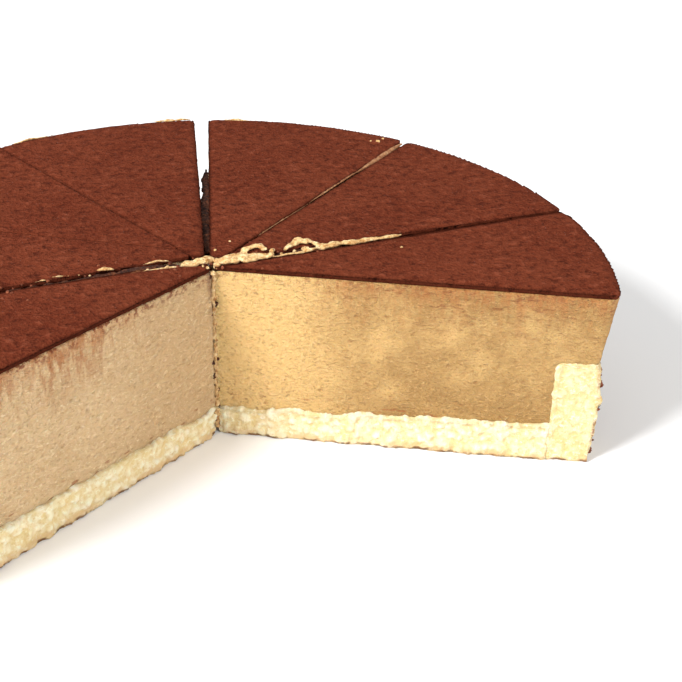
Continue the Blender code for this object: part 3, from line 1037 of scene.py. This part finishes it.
def scraps(name, shapes, material, slot, rough, shade=1.0):
    """Bits that have run together, as one uneven mesh; shade sets how strongly painted shade
    darkens them where they lie low and face -Y.
    """
    mesh = evened(merged(name, shapes), SCRAP_VOXEL, name)
    points, normals = read_points(mesh)
    points += normals * (rough * layered_noise(points, 1.6 * MM, 2, 81))[:, None]
    points[:, 2] = np.minimum(points[:, 2], CAKE_TOP + SCRAP_STAND)
    write_points(mesh, points)
    # Painted shade: darker below the top and on the side that faces -Y
    low = ramp(points[:, 2], CAKE_TOP + 0.4 * MM, CAKE_TOP - 0.9 * MM)
    write_mask(mesh, "painted_shade", shade * (low * ramp(-normals[:, 1], 0.1, 0.6)))
    add_piece(name, mesh, material, slot)


def cream_scraps(material):
    """Mousse that the knife pulled up, along the cuts to the right and left of the middle."""
    shapes = [strand(knots, flat, seed) for seed, (flat, knots) in enumerate(CREAM_STRANDS)]
    for seed, (x, y, lift, size) in enumerate(CREAM_LUMPS):
        shapes.append(lump(seed + 3, on_cake(x, y, lift), size * MM))
    scraps("cream_scraps", shapes, material, "mousse", 0.28 * MM)


def torn_edge(material):
    """A tan line where one of the cuts has pulled the cocoa back."""
    scraps("torn_edge", [strand(TORN_EDGE, 0.5, 77)], material, "mousse", 0.3 * MM)


def fallen_cocoa_and_shade(material):
    """Dark strips in the open cuts: cocoa that fell in, darkened past the cocoa's own colour as
    painted shade in the gaps.
    """
    shapes = []
    for seed, knots in enumerate(FALLEN_COCOA_AND_SHADE_STRANDS):
        shapes.append(strand(knots, COCOA_FLATNESS, seed + 40))
    scraps("fallen_cocoa_and_shade", shapes, material, "cocoa", 0.5 * MM)


def wall_crumbs(material):
    """Cocoa crumbs that stick to the rim's wall between the piped lines, in patches."""
    draw = np.random.default_rng(700)
    shapes = []
    for number in range(WALL_CRUMB_TRIES):
        angle = math.radians(draw.uniform(STRIPE_FIRST, STRIPE_LAST))
        high = RIM_TOP + rim_wave(angle) - WALL_CRUMB_MARGIN
        height = draw.uniform(WALL_CRUMB_MARGIN, high)
        size = draw.uniform(0.4, 1.15) * MM
        place, _ = on_wall(angle, rim_wall_radius(height) + 0.1 * MM, height)
        patchy = noise.noise(Vector((angle * 7.0, height * 90.0, 1.7)))
        on_sponge = any(inside_portion(place, portion, 0.9 * MM) for portion in PORTIONS)
        if patchy > draw.uniform(-0.6, 0.5) and on_sponge:
            shapes.append(lump(number, place, size))
    add_piece("wall_crumbs", merged("wall_crumbs", shapes), material, "rim_sponge")


def tip_seam(cream, dark):
    """Cream and a few dark crumbs in the upright crack between the two open portions' tips."""
    draw = np.random.default_rng(53)
    top = CAKE_TOP / MM
    shapes = []
    specks = []
    for number in range(TIP_SEAM_BITS):
        height = top * (number + 0.5) / TIP_SEAM_BITS
        x, y = 0.1 + draw.normal(0.0, 0.2), -2.75 + draw.normal(0.0, 0.25)
        if TIP_SEAM_FOOT < height < TIP_SEAM_TOP:
            shapes.append(lump(number, on_cake(x, y, height - top), draw.uniform(0.7, 1.1) * MM))
        # The dark crumbs take the same very dark tones, partly painted shade
        if draw.uniform() < 0.2 and height > TIP_SEAM_DARK_FROM:
            spot = on_cake(draw.choice((-0.75, 0.85)), -3.1, height - top)
            specks.append(lump(number + 90, spot, draw.uniform(0.35, 0.7) * MM, 1.6))
    # The cream in the crack gets weaker painted shade
    scraps("seam_cream", shapes, cream, "mousse", 0.25 * MM, 0.35)
    add_piece("seam_crumbs", merged("seam_crumbs", specks), dark, "cocoa")


def top_crumbs(cocoa, cream):
    """A few loose crumbs on the top and by the open cuts."""
    draw = np.random.default_rng(31)
    dark = []
    for number in range(DARK_CRUMBS):
        x = draw.uniform(-DARK_CRUMB_REACH, DARK_CRUMB_REACH)
        y = draw.normal(1.5, 5.0)
        dark.append(lump(number, on_cake(x, y, -0.55), draw.uniform(0.3, 0.75) * MM))
    pale = []
    for number, (x, y, size) in enumerate(PALE_CRUMBS):
        pale.append(lump(number + 60, on_cake(x, y, -0.3), size * MM))
    add_piece("cocoa_crumbs", merged("cocoa_crumbs", dark), cocoa, "cocoa")
    add_piece("pale_crumbs", merged("pale_crumbs", pale), cream, "mousse")


# Assembly

def build_top_scraps(crumb):
    cream = scrap_finish("pulled_cream", *PULLED_CREAM)
    fallen_and_shade = scrap_finish("fallen_cocoa_and_shade", *FALLEN_COCOA_AND_SHADE)
    cream_scraps(cream)
    torn_edge(scrap_finish("torn_edge_tan", *TORN_EDGE_TAN))
    fallen_cocoa_and_shade(fallen_and_shade)
    top_crumbs(crumb, cream)
    tip_seam(cream, fallen_and_shade)


def build_portions():
    cocoa = cocoa_finish()
    mousse = mousse_finish()
    sponge = sponge_finish("sponge_crumb", *BASE_SPONGE, False)
    rim_sponge = sponge_finish("rim_sponge_crumb", *RIM_SPONGE, True)
    chocolate = chocolate_finish()
    for portion in PORTIONS:
        cocoa_piece(portion, cocoa)
        mousse_piece(portion, mousse)
        base_piece(portion, sponge)
        rim_piece(portion, rim_sponge)
        piped_lines(portion, chocolate)


def build_pieces():
    crumb = scrap_finish("cocoa_crumb", *COCOA_CRUMB)
    build_top_scraps(crumb)
    build_portions()
    wall_crumbs(crumb)


def build_floor():
    material = bpy.data.materials.new("white_table")
    material.use_nodes = True
    shader = material.node_tree.nodes["Principled BSDF"]
    shader.inputs["Base Color"].default_value = (FLOOR_GREY, FLOOR_GREY, FLOOR_GREY, 1.0)
    shader.inputs["Roughness"].default_value = 0.9
    bpy.ops.mesh.primitive_plane_add(size=FLOOR_SIZE, location=(0.0, 0.0, FLOOR_HEIGHT))
    floor = bpy.context.active_object
    floor.name = "white_table_top"
    floor.data.materials.append(material)


def add_area_light(name, place, size, power):
    data = bpy.data.lights.new(name, "AREA")
    data.shape = "DISK"
    data.size = size
    data.energy = power
    light = link(bpy.data.objects.new(name, data))
    light.location = place
    aim = Vector(LIGHT_TARGET) - Vector(place)
    light.rotation_euler = aim.to_track_quat("-Z", "Y").to_euler()


def build_light():
    world = bpy.data.worlds.new("studio")
    bpy.context.scene.world = world
    world.use_nodes = True
    sky = world.node_tree.nodes["Background"]
    sky.inputs["Color"].default_value = (1.0, 1.0, 1.0, 1.0)
    sky.inputs["Strength"].default_value = STUDIO_STRENGTH
    for name, (place, size, power) in LIGHTS.items():
        add_area_light(name, place, size, power)


def build_camera():
    data = bpy.data.cameras.new("camera")
    data.lens = CAMERA_LENS
    data.sensor_width = CAMERA_SENSOR
    camera = link(bpy.data.objects.new("camera", data))
    heading, pitch, roll = CAMERA_HEADING, CAMERA_PITCH, CAMERA_ROLL
    level = math.cos(pitch)
    forward = Vector((math.sin(heading) * level, math.cos(heading) * level, -math.sin(pitch)))
    right = Vector((math.cos(heading), -math.sin(heading), 0.0))
    up = right.cross(forward)
    rolled_right = right * math.cos(roll) + up * math.sin(roll)
    rolled_up = up * math.cos(roll) - right * math.sin(roll)
    turn = Matrix((rolled_right, rolled_up, -forward)).transposed()
    place = Vector((CAMERA_PLACE.x, CAMERA_PLACE.y, CAMERA_HEIGHT))
    camera.matrix_world = Matrix.Translation(place) @ turn.to_4x4()
    bpy.context.scene.camera = camera


build_pieces()
build_floor()
build_light()
build_camera()
bpy.context.scene.view_settings.view_transform = "Standard"
